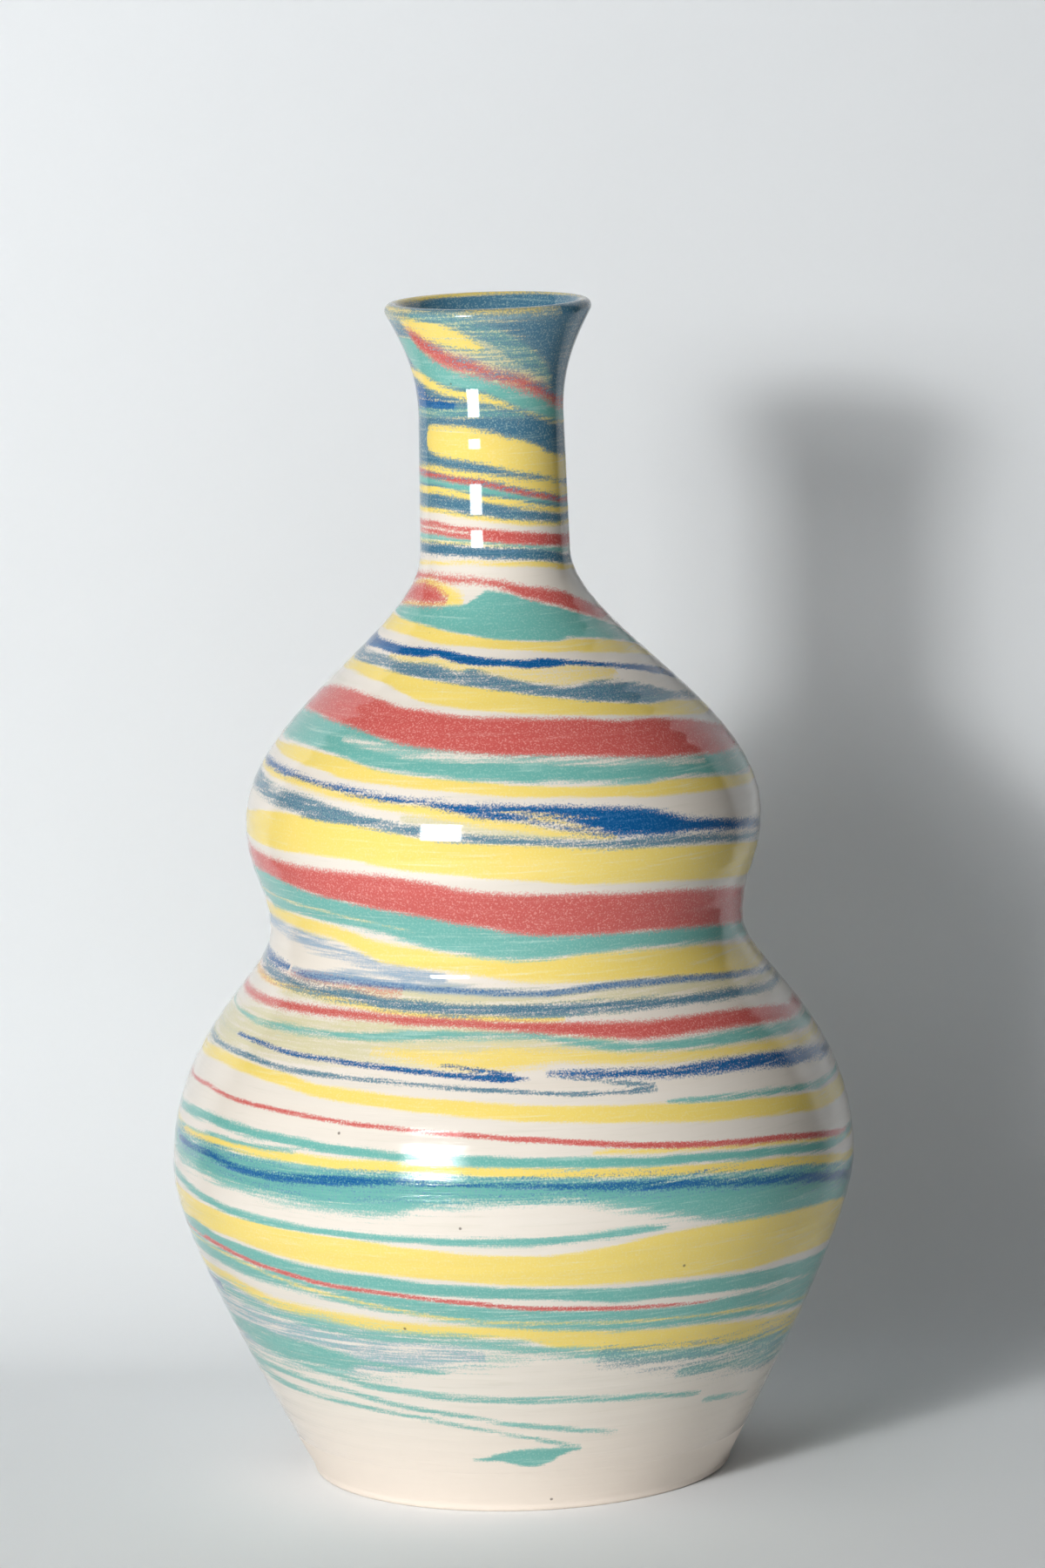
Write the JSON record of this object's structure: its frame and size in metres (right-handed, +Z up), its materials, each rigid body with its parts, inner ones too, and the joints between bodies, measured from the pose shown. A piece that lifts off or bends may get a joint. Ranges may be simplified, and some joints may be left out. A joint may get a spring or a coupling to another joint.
{
  "type": "marbled clay bottle vase",
  "caption": "Wheel-thrown double-gourd bottle vase in marbled clay, with a flared lip on a slim neck, a flat bare foot and a clear glaze outside and in.",
  "frame": {"origin": "middle of the flat foot, on the surface that the vase stands on", "axes": "+Z up along the throwing axis from the foot to the lip, -Y towards the side that the picture shows, +X to its right"},
  "size_m": [0.157, 0.157, 0.27],
  "materials": {
    "marbled_clay": "satin",
    "clear_glaze": "gloss"
  },
  "bodies": {
    "root": {"clay_body": "marbled_clay", "outside_glaze": "clear_glaze", "inside_glaze": "clear_glaze"}
  },
  "joints": []
}
